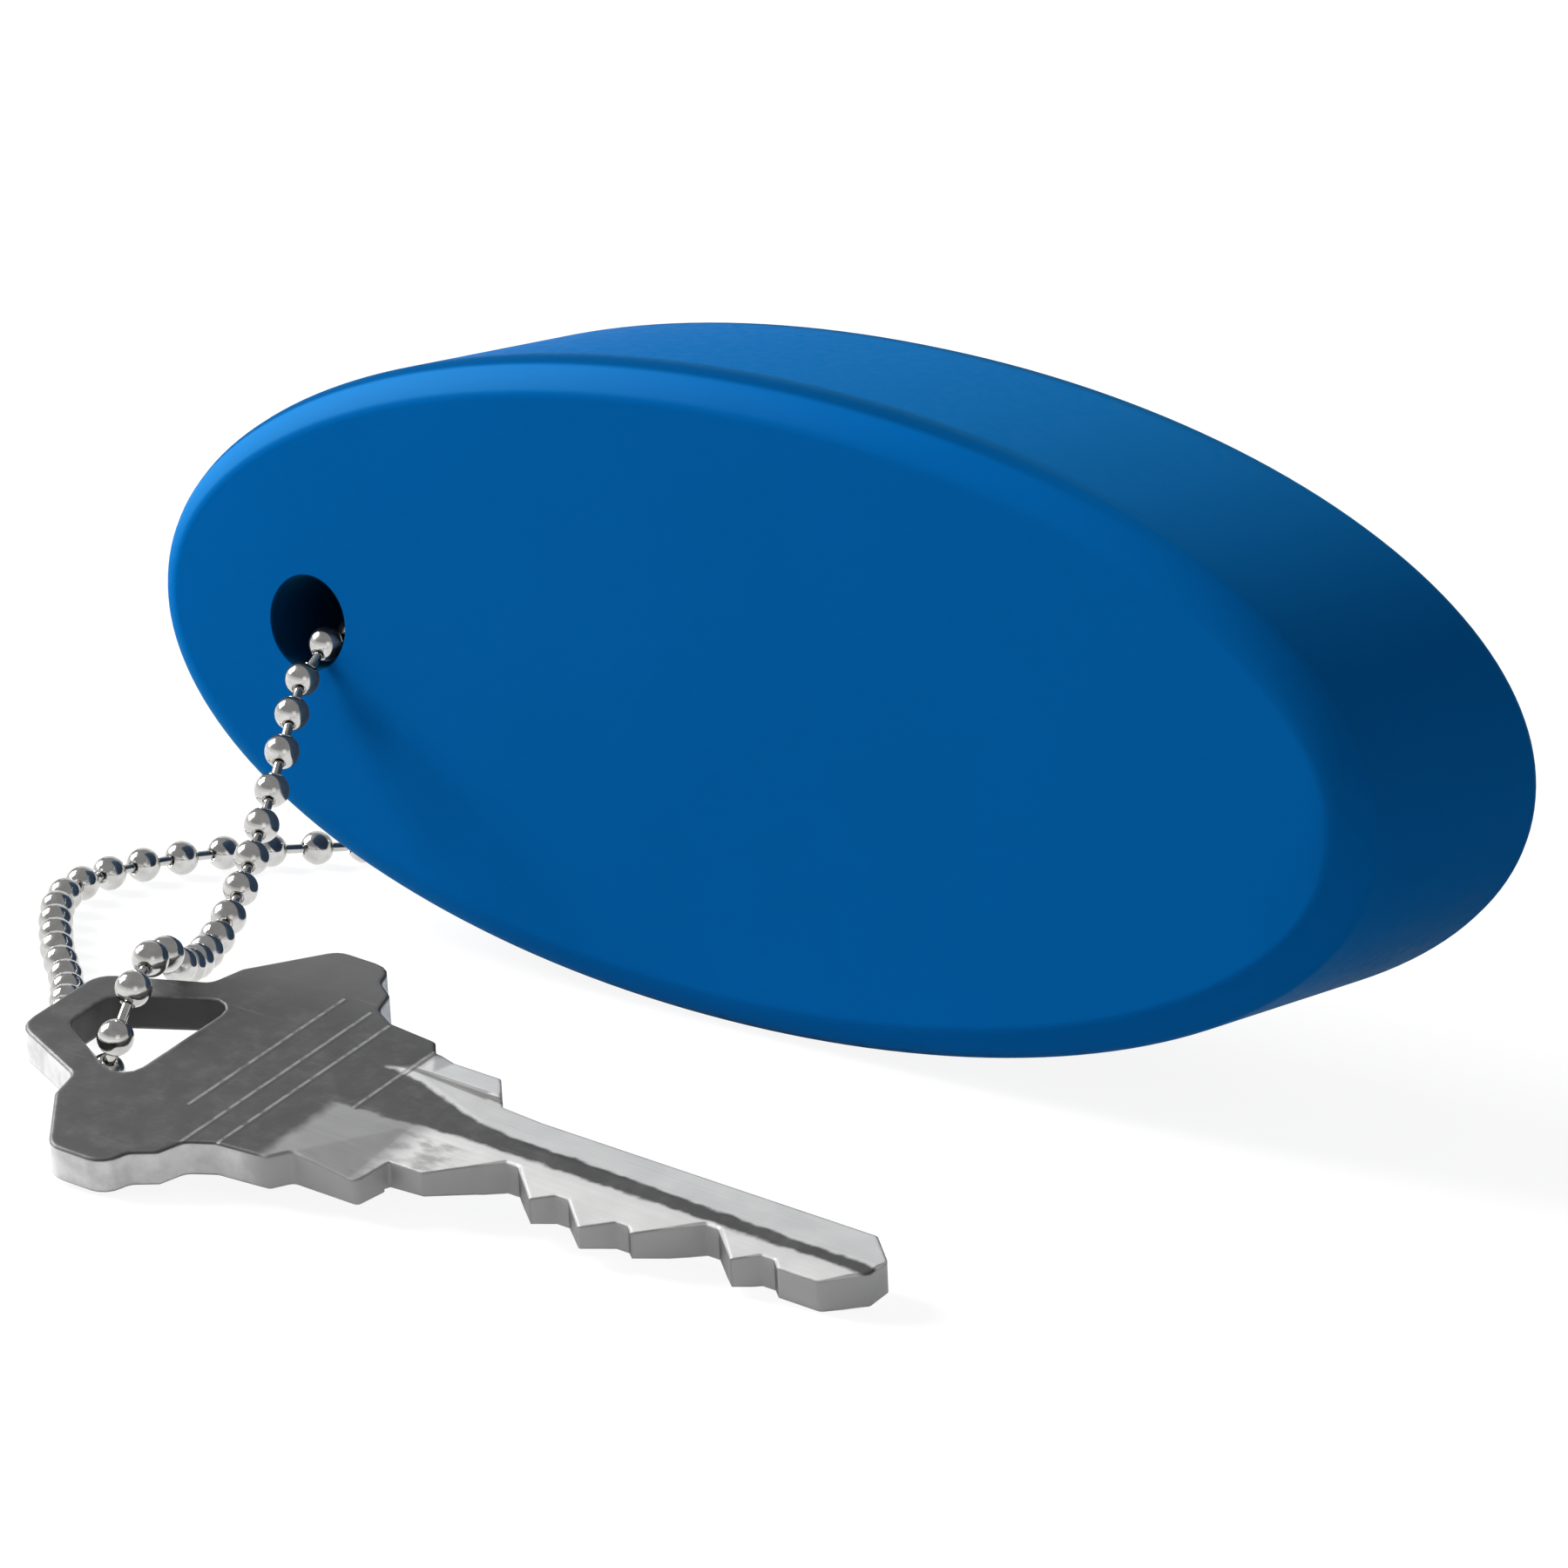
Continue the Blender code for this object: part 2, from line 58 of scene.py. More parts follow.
def makeCamera():
    azimuth = math.radians(cameraSetup["azimuth"])
    elevation = math.radians(cameraSetup["elevation"])
    out = math.cos(elevation)
    back = Vector((math.sin(azimuth) * out, -math.cos(azimuth) * out, math.sin(elevation)))
    data = bpy.data.cameras.new("photoCamera")
    data.lens = cameraSetup["lens"]
    data.clip_start, data.clip_end = cameraSetup["clip"]
    camera = bpy.data.objects.new("photoCamera", data)
    bpy.context.scene.collection.objects.link(camera)
    camera.location = Vector(cameraSetup["target"]) + back * cameraSetup["distance"]
    camera.rotation_mode = "QUATERNION"
    roll = Quaternion((0.0, 0.0, 1.0), math.radians(cameraSetup["roll"]))
    camera.rotation_quaternion = (-back).to_track_quat("-Z", "Y") @ roll
    bpy.context.scene.camera = camera


makeCamera()


# Small helpers for node trees

def link(tree, source, target):
    tree.links.new(source, target)


def math2(tree, operation, first, second=None):
    node = tree.nodes.new("ShaderNodeMath")
    node.operation = operation
    for socket, value in zip(node.inputs, (first, second)):
        if isinstance(value, (int, float)):
            socket.default_value = value
        elif value is not None:
            link(tree, value, socket)
    return node.outputs[0]


def times(tree, *masks):
    product = masks[0]
    for mask in masks[1:]:
        product = math2(tree, "MULTIPLY", product, mask)
    return product


def largest(tree, *masks):
    found = masks[0]
    for mask in masks[1:]:
        found = math2(tree, "MAXIMUM", found, mask)
    return found


def between(tree, value, span, low=0.0, high=1.0):
    # goes softly from low to high while the value crosses the span
    node = tree.nodes.new("ShaderNodeMapRange")
    node.interpolation_type = "SMOOTHSTEP"
    link(tree, value, node.inputs["Value"])
    for label, number in zip(("From Min", "From Max", "To Min", "To Max"), (*span, low, high)):
        node.inputs[label].default_value = number
    return node.outputs["Result"]


def noise(tree, vector, scale, detail=3.0, roughness=0.5):
    node = tree.nodes.new("ShaderNodeTexNoise")
    link(tree, vector, node.inputs["Vector"])
    if isinstance(scale, (int, float)):
        node.inputs["Scale"].default_value = scale
    else:
        link(tree, scale, node.inputs["Scale"])
    node.inputs["Detail"].default_value = detail
    node.inputs["Roughness"].default_value = roughness
    return node.outputs["Fac"]


def stretched(tree, vector, scale, turn=0.0):
    node = tree.nodes.new("ShaderNodeMapping")
    link(tree, vector, node.inputs["Vector"])
    node.inputs["Scale"].default_value = scale
    node.inputs["Rotation"].default_value = (0.0, 0.0, turn)
    return node.outputs["Vector"]


def facing(tree, first, second):
    # 1 where the two directions agree, 0 where they are square to each other
    node = tree.nodes.new("ShaderNodeVectorMath")
    node.operation = "DOT_PRODUCT"
    link(tree, first, node.inputs[0])
    if isinstance(second, Vector):
        node.inputs[1].default_value = second
    else:
        link(tree, second, node.inputs[1])
    return node.outputs["Value"]


def mixColour(tree, mask, first, second):
    node = tree.nodes.new("ShaderNodeMix")
    node.data_type = "RGBA"
    link(tree, mask, node.inputs["Factor"])
    for socket, value in ((node.inputs["A"], first), (node.inputs["B"], second)):
        if isinstance(value, tuple):
            socket.default_value = (*value, 1.0)
        else:
            link(tree, value, socket)
    return node.outputs["Result"]


def mixShader(tree, mask, first, second):
    node = tree.nodes.new("ShaderNodeMixShader")
    for socket, source in zip(node.inputs, (mask, first, second)):
        link(tree, source, socket)
    return node.outputs[0]


def bump(tree, height, distance, strength, normal=None):
    node = tree.nodes.new("ShaderNodeBump")
    node.inputs["Distance"].default_value = distance
    node.inputs["Strength"].default_value = strength
    link(tree, height, node.inputs["Height"])
    if normal:
        link(tree, normal, node.inputs["Normal"])
    return node.outputs["Normal"]


# The studio

studioSetup = {
    "floorSize": 4.0,
    "floorDrop": 0.00005,
    "floorColour": (0.62, 0.62, 0.62),  # what the floor throws back on the object
    "seenColour": (0.16, 0.16, 0.16),  # what the camera and the metal see of it
    "seenGlow": 0.90,
    "roomColour": (0.27, 0.27, 0.27),
    "highGloss": (0.34, 0.34, 0.345),  # the dark ceiling that the metal reflects
    "lowGloss": (0.85, 0.85, 0.85),
    "glossHeights": (0.10, 0.42),  # where the one turns into the other
    "lamps": {  # place, aim, size and watts
        "keyLamp": ((-0.74, -0.20, 0.49), (0.0, 0.0, 0.01), (0.45, 0.45), 13.8),
        "fillLamp": ((0.75, -0.55, 0.30), (0.0, 0.0, 0.02), (0.40, 0.40), 0.25),
        "backLamp": ((-0.45, 0.60, 0.40), (0.0, 0.0, 0.02), (0.60, 0.30), 0.3),
    },
}


def makeWorld():
    world = bpy.data.worlds.new("studioRoom")
    bpy.context.scene.world = world
    world.use_nodes = True
    tree = world.node_tree
    tree.nodes.clear()
    place = tree.nodes.new("ShaderNodeTexCoord")
    split = tree.nodes.new("ShaderNodeSeparateXYZ")
    link(tree, place.outputs["Generated"], split.inputs[0])
    ramp = tree.nodes.new("ShaderNodeValToRGB")
    ramp.color_ramp.interpolation = "EASE"
    stops = zip(ramp.color_ramp.elements, studioSetup["glossHeights"], ("lowGloss", "highGloss"))
    for stop, height, name in stops:
        stop.position = height
        stop.color = (*studioSetup[name], 1.0)
    link(tree, split.outputs["Z"], ramp.inputs["Fac"])
    room = tree.nodes.new("ShaderNodeBackground")
    room.inputs["Color"].default_value = (*studioSetup["roomColour"], 1.0)
    gloss = tree.nodes.new("ShaderNodeBackground")
    link(tree, ramp.outputs["Color"], gloss.inputs["Color"])
    white = tree.nodes.new("ShaderNodeBackground")
    white.inputs["Color"].default_value = (1.0, 1.0, 1.0, 1.0)
    path = tree.nodes.new("ShaderNodeLightPath").outputs
    seen = largest(tree, path["Is Camera Ray"], path["Is Transmission Ray"])
    reflected = mixShader(tree, path["Is Glossy Ray"], room.outputs[0], gloss.outputs[0])
    final = mixShader(tree, seen, reflected, white.outputs[0])
    out = tree.nodes.new("ShaderNodeOutputWorld")
    link(tree, final, out.inputs["Surface"])


def makeFloor():
    shape = bmesh.new()
    bmesh.ops.create_grid(shape, x_segments=1, y_segments=1, size=studioSetup["floorSize"] / 2)
    bmesh.ops.translate(shape, verts=shape.verts, vec=(0.0, 0.0, -studioSetup["floorDrop"]))
    mesh = bpy.data.meshes.new("studioFloor")
    shape.to_mesh(mesh)
    shape.free()
    floor = bpy.data.objects.new("studioFloor", mesh)
    bpy.context.scene.collection.objects.link(floor)
    material = bpy.data.materials.new("paleFloor")
    material.use_nodes = True
    tree = material.node_tree
    tree.nodes.clear()
    plain = tree.nodes.new("ShaderNodeBsdfDiffuse")
    plain.inputs["Color"].default_value = (*studioSetup["floorColour"], 1.0)
    lit = tree.nodes.new("ShaderNodeBsdfDiffuse")
    lit.inputs["Color"].default_value = (*studioSetup["seenColour"], 1.0)
    glow = tree.nodes.new("ShaderNodeEmission")
    glow.inputs["Strength"].default_value = studioSetup["seenGlow"]
    both = tree.nodes.new("ShaderNodeAddShader")
    link(tree, lit.outputs[0], both.inputs[0])
    link(tree, glow.outputs[0], both.inputs[1])
    path = tree.nodes.new("ShaderNodeLightPath").outputs
    seen = largest(tree, path["Is Camera Ray"], path["Is Glossy Ray"], path["Is Transmission Ray"])
    final = mixShader(tree, seen, plain.outputs[0], both.outputs[0])
    out = tree.nodes.new("ShaderNodeOutputMaterial")
    link(tree, final, out.inputs["Surface"])
    mesh.materials.append(material)


def makeLamps():
    for name, (place, aim, size, power) in studioSetup["lamps"].items():
        data = bpy.data.lights.new(name, "AREA")
        data.shape = "RECTANGLE"
        data.size, data.size_y = size
        data.energy = power
        lamp = bpy.data.objects.new(name, data)
        bpy.context.scene.collection.objects.link(lamp)
        lamp.location = place
        lamp.rotation_mode = "QUATERNION"
        lamp.rotation_quaternion = (Vector(aim) - Vector(place)).to_track_quat("-Z", "Y")


makeWorld()
makeFloor()
makeLamps()
bpy.context.scene.view_settings.view_transform = "Standard"
print("camera and studio are ready")


# Effects that several finishes share

sharedEffects = {
    "cloudSpan": (0.30, 0.70),
    "hairlines": (  # turn, and scale along and across the line
        (0.35, 90.0, 5200.0),
        (-0.62, 120.0, 6400.0),
        (1.31, 80.0, 4300.0),
    ),
    "hairlineSpan": (0.66, 0.74),
    "gapScale": 320.0,
    "gapSpan": (0.42, 0.60),
}


def newGroup(name, inputs):
    group = bpy.data.node_groups.new(name, "ShaderNodeTree")
    for label, kind, value in inputs:
        socket = group.interface.new_socket(label, in_out="INPUT", socket_type=kind)
        socket.default_value = value
    group.interface.new_socket("Mask", in_out="OUTPUT", socket_type="NodeSocketFloat")
    return group, group.nodes.new("NodeGroupInput"), group.nodes.new("NodeGroupOutput")


def makeMottleGroup():
    # slow clouds over a surface, a mask from 0 to 1
    inputs = [("Vector", "NodeSocketVector", (0.0, 0.0, 0.0)), ("Scale", "NodeSocketFloat", 60.0)]
    group, entry, leave = newGroup("slowMottle", inputs)
    cloud = noise(group, entry.outputs["Vector"], entry.outputs["Scale"], 4.0, 0.55)
    link(group, between(group, cloud, sharedEffects["cloudSpan"]), leave.inputs["Mask"])
    return group


def makeScratchGroup():
    # fine straight hairlines in three directions, broken up by a slow noise
    inputs = [("Vector", "NodeSocketVector", (0.0, 0.0, 0.0)), ("Amount", "NodeSocketFloat", 0.5)]
    group, entry, leave = newGroup("hairlineScratches", inputs)
    place = entry.outputs["Vector"]
    masks = []
    for turn, along, across in sharedEffects["hairlines"]:
        streak = noise(group, stretched(group, place, (along, across, across), turn), 1.0, 2.0)
        masks.append(between(group, streak, sharedEffects["hairlineSpan"]))
    gaps = between(group, noise(group, place, sharedEffects["gapScale"], 2.0), sharedEffects["gapSpan"])
    scratches = times(group, largest(group, *masks), gaps, entry.outputs["Amount"])
    link(group, scratches, leave.inputs["Mask"])
    return group


mottleGroup = makeMottleGroup()
scratchGroup = makeScratchGroup()


def groupNode(tree, group, vector, **values):
    node = tree.nodes.new("ShaderNodeGroup")
    node.node_tree = group
    link(tree, vector, node.inputs["Vector"])
    for label, value in values.items():
        node.inputs[label].default_value = value
    return node.outputs["Mask"]


def newMaterial(name):
    material = bpy.data.materials.new(name)
    material.use_nodes = True
    tree = material.node_tree
    place = tree.nodes.new("ShaderNodeTexCoord").outputs["Object"]
    return material, tree, tree.nodes["Principled BSDF"], place


def finishedObject(name, shape, smoothAngle):
    bmesh.ops.recalc_face_normals(shape, faces=shape.faces)
    mesh = bpy.data.meshes.new(name)
    shape.to_mesh(mesh)
    shape.free()
    mesh.shade_smooth()
    mesh.set_sharp_from_angle(angle=math.radians(smoothAngle))
    piece = bpy.data.objects.new(name, mesh)
    bpy.context.scene.collection.objects.link(piece)
    return piece


def turnedShape(profile, sides):
    shape = bmesh.new()
    verts = [shape.verts.new((r, 0.0, z)) for r, z in profile]
    edges = [shape.edges.new(pair) for pair in zip(verts, verts[1:])]
    turn = {"cent": (0.0, 0.0, 0.0), "axis": (0.0, 0.0, 1.0), "angle": math.tau, "steps": sides}
    bmesh.ops.spin(shape, geom=verts + edges, use_merge=True, **turn)
    bmesh.ops.remove_doubles(shape, verts=shape.verts, dist=1e-8)
    return shape


# The foam float

foamFloat = {
    "length": 0.0840,
    "height": 0.0365,
    "thickness": 0.0190,
    "fullness": 2.04,  # 2 is a true ellipse
    "edgeRadius": 0.0022,
    "edgeProfile": 0.41,  # flatter than a quarter circle, so that both its borders read
    "edgeSteps": 8,
    "sides": 192,
    "holePlace": (-0.0299, 0.01765),
    "holeRadius": 0.0027,
    "holeMargin": 0.0001,
    "mouthRadius": 0.00015,
    "mouthSteps": 4,
    "holeSides": 64,
    "smoothAngle": 60,
    "blue": (0.0006, 0.111, 0.378),
    "deepBlue": (0.0006, 0.108, 0.368),
    "cloudScale": 90.0,
    "paintedHoleShade": (0.0004, 0.030, 0.100),  # painted shade down the hole
    "reflectedBlue": (0.055, 0.085, 0.140),  # as the bright metal throws it back
    "paintedRimHighlight": (0.020, 0.190, 0.500),  # a painted highlight along the rounded rim
    "rimStrength": 0.75,
    "rimStart": (0.00006, 0.00020),  # from the face inwards
    "rimEnd": (0.50, 0.64),  # the same, in edge radii
    "rimSideways": (-0.030, 0.014),  # it fades to the right
    "rimHeights": (0.017, 0.026),  # and towards the bottom
    "paintedBandShade": (0.0004, 0.066, 0.225),  # a painted dark band of shade behind the rounded rim
    "bandStart": (0.52, 0.68),  # from the face inwards, in edge radii
    "bandEnd": (1.05, 1.45),
    "bandSideways": (0.008, 0.030),
    "roughness": 0.42,
    "roughnessSpread": (-0.05, 0.07),
    "gloss": 0.0015,
    "sheen": 0.075,
    "sheenTint": (0.10, 0.90, 0.80),
    "sheenRoughness": 0.4,
    "waves": (140.0, 0.00012, 0.05),  # scale, depth and strength of the bumps
    "skin": (1400.0, 0.00002, 0.05),
    "skinSpan": (0.3, 0.7),
    "pores": (2600.0, 0.00001, 0.06),
    "poreSpan": (0.0, 0.55),
}


def foamMaterial():
    material, tree, shader, place = newMaterial("satinBlueFoam")
    spec = foamFloat
    clouds = groupNode(tree, mottleGroup, place, Scale=spec["cloudScale"])
    colour = mixColour(tree, clouds, spec["deepBlue"], spec["blue"])
    split = tree.nodes.new("ShaderNodeSeparateXYZ")
    link(tree, place, split.inputs[0])
    sideways, through, height = split.outputs
    depth = math2(tree, "SUBTRACT", spec["thickness"] / 2, math2(tree, "ABSOLUTE", through))
    radii = math2(tree, "DIVIDE", depth, spec["edgeRadius"])
    # the painted highlight on the rounded rim
    rimStart = between(tree, depth, spec["rimStart"], 0.0, spec["rimStrength"])
    rimEnd = between(tree, radii, spec["rimEnd"], 1.0, 0.0)
    rimLeft = between(tree, sideways, spec["rimSideways"], 1.0, 0.0)
    rimTop = between(tree, height, spec["rimHeights"])
    colour = mixColour(tree, times(tree, rimStart, rimEnd, rimLeft, rimTop), colour, spec["paintedRimHighlight"])
    # the painted dark band of shade behind it, which stays out of the hole
    aside = math2(tree, "SUBTRACT", sideways, spec["holePlace"][0])
    higher = math2(tree, "SUBTRACT", height, spec["holePlace"][1])
    fromAxis = math2(tree, "ADD", times(tree, aside, aside), times(tree, higher, higher))
    inside = math2(tree, "LESS_THAN", fromAxis, (spec["holeRadius"] + spec["holeMargin"]) ** 2)
    outside = math2(tree, "SUBTRACT", 1.0, inside)
    bandStart = between(tree, radii, spec["bandStart"])
    bandEnd = between(tree, radii, spec["bandEnd"], 1.0, 0.0)
    bandLeft = between(tree, sideways, spec["bandSideways"], 1.0, 0.0)
    colour = mixColour(tree, times(tree, bandStart, bandEnd, bandLeft, outside), colour, spec["paintedBandShade"])
    # painted shade down the hole
    colour = mixColour(tree, inside, colour, spec["paintedHoleShade"])
    path = tree.nodes.new("ShaderNodeLightPath").outputs
    thrown = mixColour(tree, path["Is Glossy Ray"], colour, spec["reflectedBlue"])
    link(tree, thrown, shader.inputs["Base Color"])
    # the foam's skin
    skin = noise(tree, place, spec["skin"][0], 4.0, 0.6)
    low, high = (spec["roughness"] + change for change in spec["roughnessSpread"])
    link(tree, between(tree, skin, spec["skinSpan"], low, high), shader.inputs["Roughness"])
    pores = tree.nodes.new("ShaderNodeTexVoronoi")
    pores.inputs["Scale"].default_value = spec["pores"][0]
    link(tree, place, pores.inputs["Vector"])
    cells = between(tree, pores.outputs["Distance"], spec["poreSpan"])
    waves = bump(tree, noise(tree, place, spec["waves"][0], 2.0), *spec["waves"][1:])
    fine = bump(tree, skin, *spec["skin"][1:], waves)
    link(tree, bump(tree, cells, *spec["pores"][1:], fine), shader.inputs["Normal"])
    shader.inputs["Specular IOR Level"].default_value = spec["gloss"]
    shader.inputs["Sheen Weight"].default_value = spec["sheen"]
    shader.inputs["Sheen Tint"].default_value = (*spec["sheenTint"], 1.0)
    shader.inputs["Sheen Roughness"].default_value = spec["sheenRoughness"]
    return material


def holeProfile():
    # the wall of the hole, flaring into both faces
    radius, lip, steps = foamFloat["holeRadius"], foamFloat["mouthRadius"], foamFloat["mouthSteps"]
    turns = [math.pi / 2 * step / steps for step in range(steps + 1)]
    low = [(radius + lip * (1 - math.sin(turn)), lip * (1 - math.cos(turn))) for turn in turns]
    return low + [(r, foamFloat["thickness"] - z) for r, z in reversed(low)]


def makeFloat():
    spec = foamFloat
    shape = bmesh.new()
    circle = bmesh.ops.create_circle(shape, cap_ends=True, segments=spec["sides"], radius=1.0)
    power = 2 / spec["fullness"]
    for vert in circle["verts"]:  # the circle is stretched and a little squared
        across, up = vert.co.x, vert.co.y
        vert.co.x = math.copysign(abs(across) ** power, across) * spec["length"] / 2
        vert.co.y = (math.copysign(abs(up) ** power, up) + 1) * spec["height"] / 2
    drawn = bmesh.ops.extrude_face_region(shape, geom=list(shape.faces))["geom"]
    moved = [item for item in drawn if isinstance(item, bmesh.types.BMVert)]
    bmesh.ops.translate(shape, verts=moved, vec=(0.0, 0.0, spec["thickness"]))
    bmesh.ops.recalc_face_normals(shape, faces=shape.faces)
    rims = [edge for edge in shape.edges if edge.calc_face_angle(0.0) > 1.0]
    rounding = {
        "affect": "EDGES",
        "offset": spec["edgeRadius"],
        "segments": spec["edgeSteps"],
        "profile": spec["edgeProfile"],
        "material": -1,
        "clamp_overlap": False,
    }
    bmesh.ops.bevel(shape, geom=rims, **rounding)
    caps = [face for face in shape.faces if len(face.verts) == spec["sides"]]
    bmesh.ops.delete(shape, geom=caps, context="FACES_ONLY")
    hole = turnedShape(holeProfile(), spec["holeSides"])
    bmesh.ops.translate(hole, verts=hole.verts, vec=(*spec["holePlace"], 0.0))
    tube = bpy.data.meshes.new("holeWall")
    hole.to_mesh(tube)
    hole.free()
    shape.from_mesh(tube)
    bpy.data.meshes.remove(tube)
    for level in (0.0, spec["thickness"]):  # each face is filled between its rim and the hole
        borders = [edge for edge in shape.edges if edge.is_boundary]
        rim = [edge for edge in borders if abs(edge.verts[0].co.z - level) < 1e-6]
        bmesh.ops.triangle_fill(shape, use_beauty=True, use_dissolve=False, edges=rim)
    stand = Matrix.Translation((0.0, spec["thickness"] / 2, 0.0)) @ Matrix.Rotation(math.pi / 2, 4, "X")
    bmesh.ops.transform(shape, matrix=stand, verts=shape.verts)
    piece = finishedObject("foamFloat", shape, spec["smoothAngle"])
    weighted = piece.modifiers.new("evenShading", "WEIGHTED_NORMAL")
    weighted.keep_sharp = True
    piece.data.materials.append(foamMaterial())
    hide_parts("float_body")
    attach(piece, "root")


makeFloat()
print("float is ready")


# The ball chain

ballChain = {
    "ballRadius": 0.0010,
    "holeRadius": 0.00037,  # the opening where the pin goes in
    "holeDepth": 0.00022,
    "lipRadius": 0.00006,
    "lipFlare": 0.3,
    "pinRadius": 0.00028,
    "pinStart": 0.55,  # in ball radii from the middle of the ball
    "bendReach": 0.9,  # how far up and down the ball its bend is spread, in ball radii
    "sides": 28,
    "rings": 14,
    "pinSides": 12,
    "smoothAngle": 50,
    "fitTrust": (0.0006, 0.00003, 20),  # widest, narrowest and number of steps
    "steel": (0.66, 0.655, 0.64),
    "tarnish": (0.54, 0.53, 0.51),
    "tarnishScale": 1100.0,
    "roughness": 0.12,
    "roughnessSpread": (-0.03, 0.10),
    "smudgeScale": 1700.0,
    "smudgeSpan": (0.35, 0.75),
    "scratchAmount": 0.5,
    "scratchDepth": 0.000004,
    "scratchStrength": 0.4,
}


def chainMaterial():
    material, tree, shader, place = newMaterial("polishedNickelChain")
    spec = ballChain
    tarnish = groupNode(tree, mottleGroup, place, Scale=spec["tarnishScale"])
    link(tree, mixColour(tree, tarnish, spec["tarnish"], spec["steel"]), shader.inputs["Base Color"])
    low, high = (spec["roughness"] + change for change in spec["roughnessSpread"])
    smudge = noise(tree, place, spec["smudgeScale"])
    link(tree, between(tree, smudge, spec["smudgeSpan"], low, high), shader.inputs["Roughness"])
    scratches = groupNode(tree, scratchGroup, place, Amount=spec["scratchAmount"])
    scratched = bump(tree, scratches, spec["scratchDepth"], spec["scratchStrength"])
    link(tree, scratched, shader.inputs["Normal"])
    shader.inputs["Metallic"].default_value = 1.0
    return material


def ballCentre(node):
    # most points of a ball's solid lie on its sphere, so a fit that trusts near points finds its middle
    points = np.unique(np.round([vert.co for vert in node.data.vertices], 7), axis=0)
    centre = points.mean(0)
    for trust in np.geomspace(*ballChain["fitTrust"]):
        away = points - centre
        reach = np.linalg.norm(away, axis=1)
        off = reach - ballChain["ballRadius"]
        weight = 1 / (1 + (off / trust) ** 2) ** 2
        slope = -away / reach[:, None]
        weighted = slope * weight[:, None]
        centre = centre + np.linalg.lstsq(weighted.T @ slope, -weighted.T @ off, rcond=None)[0]
    return Vector(centre)


def ballProfile():
    spec = ballChain
    radius, hole, lip = spec["ballRadius"], spec["holeRadius"], spec["lipRadius"]
    start = math.asin((hole + lip) / radius)
    top = radius * math.cos(start)
    flare = lip * spec["lipFlare"]
    half = [(0.0, top - spec["holeDepth"]), (hole, top - spec["holeDepth"]), (hole, top - lip)]
    half.append((hole + flare, top - flare))
    arc = []
    for ring in range(spec["rings"] + 1):
        polar = start + (math.pi - 2 * start) * ring / spec["rings"]
        arc.append((radius * math.sin(polar), radius * math.cos(polar)))
    return half + arc + [(r, -z) for r, z in reversed(half)]


def makeBall(name, node, before, here, after, material):
    spec = ballChain
    turn = (here - before).to_track_quat("Z", "Y")
    onward = turn.inverted() @ (after - here)
    bend = Vector((0.0, 0.0, 1.0)).rotation_difference(onward)
    shape = turnedShape(ballProfile(), spec["sides"])
    for vert in shape.verts:  # the far opening turns towards the next ball
        share = (vert.co.z / spec["ballRadius"] + spec["bendReach"]) / (2 * spec["bendReach"])
        vert.co.rotate(Quaternion().slerp(bend, min(1.0, max(0.0, share))))
    start = spec["ballRadius"] * spec["pinStart"]
    size = {"depth": onward.length - 2 * start, "radius1": spec["pinRadius"], "radius2": spec["pinRadius"]}
    pin = bmesh.ops.create_cone(shape, cap_ends=True, segments=spec["pinSides"], **size)["verts"]
    place = bend.to_matrix().to_4x4() @ Matrix.Translation((0.0, 0.0, start + size["depth"] / 2))
    bmesh.ops.transform(shape, matrix=place, verts=pin)
    stand = Matrix.Translation(here) @ turn.to_matrix().to_4x4()
    bmesh.ops.transform(shape, matrix=stand, verts=shape.verts)
    for vert in shape.verts:  # nothing dips into the ground
        vert.co.z = max(vert.co.z, 0.0)
    piece = finishedObject(name, shape, spec["smoothAngle"])
    piece.data.materials.append(material)
    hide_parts(node)
    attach(piece, "root")


chainFinish = chainMaterial()
centres = [ballCentre(cadNodes[name]) for name in ballNames]
followers = centres[1:] + centres[:1]
for index, name in enumerate(ballNames):
    neighbours = (centres[index - 1], centres[index], followers[index])
    makeBall("chainBall" + name[-2:], name, *neighbours, chainFinish)
print("chain is ready")


# The sleeve that joins the chain's two ends

chainSleeve = {
    "gap": 0.0003,
    "wall": 0.00025,
    "slot": 0.0012,
    "lip": 0.0006,
    "endSteps": 6,
    "sides": 36,
    "smoothAngle": 40,
}


def makeSleeve():
    spec = chainSleeve
    low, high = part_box("chain_coupling")
    middle = (low + high) / 2
    pairs = zip(centres, followers)
    first, second = min(pairs, key=lambda pair: ((pair[0] + pair[1]) / 2 - middle).length)
    half = (second - first).length / 2
    inner = ballChain["ballRadius"] + spec["gap"]
    outer = inner + spec["wall"]
    rows = []
    for radius in (inner, outer):
        last = math.asin(spec["lip"] / radius)
        arc = []
        for step in range(spec["endSteps"] + 1):
            polar = math.pi / 2 + (last - math.pi / 2) * step / spec["endSteps"]
            arc.append((radius * math.sin(polar), half + radius * math.cos(polar)))
        line = [(r, -z) for r, z in reversed(arc)] + arc
        rows += line if radius == inner else list(reversed(line))
    shape = bmesh.new()
    section = shape.faces.new([shape.verts.new((r, 0.0, z)) for r, z in rows])
    everything = list(section.verts) + list(section.edges) + [section]
    sweep = {  # open along the slot, so the two ends stay apart
        "cent": (0.0, 0.0, 0.0),
        "axis": (0.0, 0.0, 1.0),
        "angle": math.tau - 2 * math.asin(spec["slot"] / 2 / outer),
        "steps": spec["sides"],
    }
    bmesh.ops.spin(shape, geom=everything, use_duplicate=False, **sweep)
    turn = (second - first).to_track_quat("Z", "Y")
    place = Matrix.Translation((first + second) / 2) @ turn.to_matrix().to_4x4()
    bmesh.ops.transform(shape, matrix=place, verts=shape.verts)
    piece = finishedObject("chainSleeve", shape, spec["smoothAngle"])
    piece.data.materials.append(chainFinish)
    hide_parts("chain_coupling")
    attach(piece, "root")


makeSleeve()
print("sleeve is ready")


# The house key

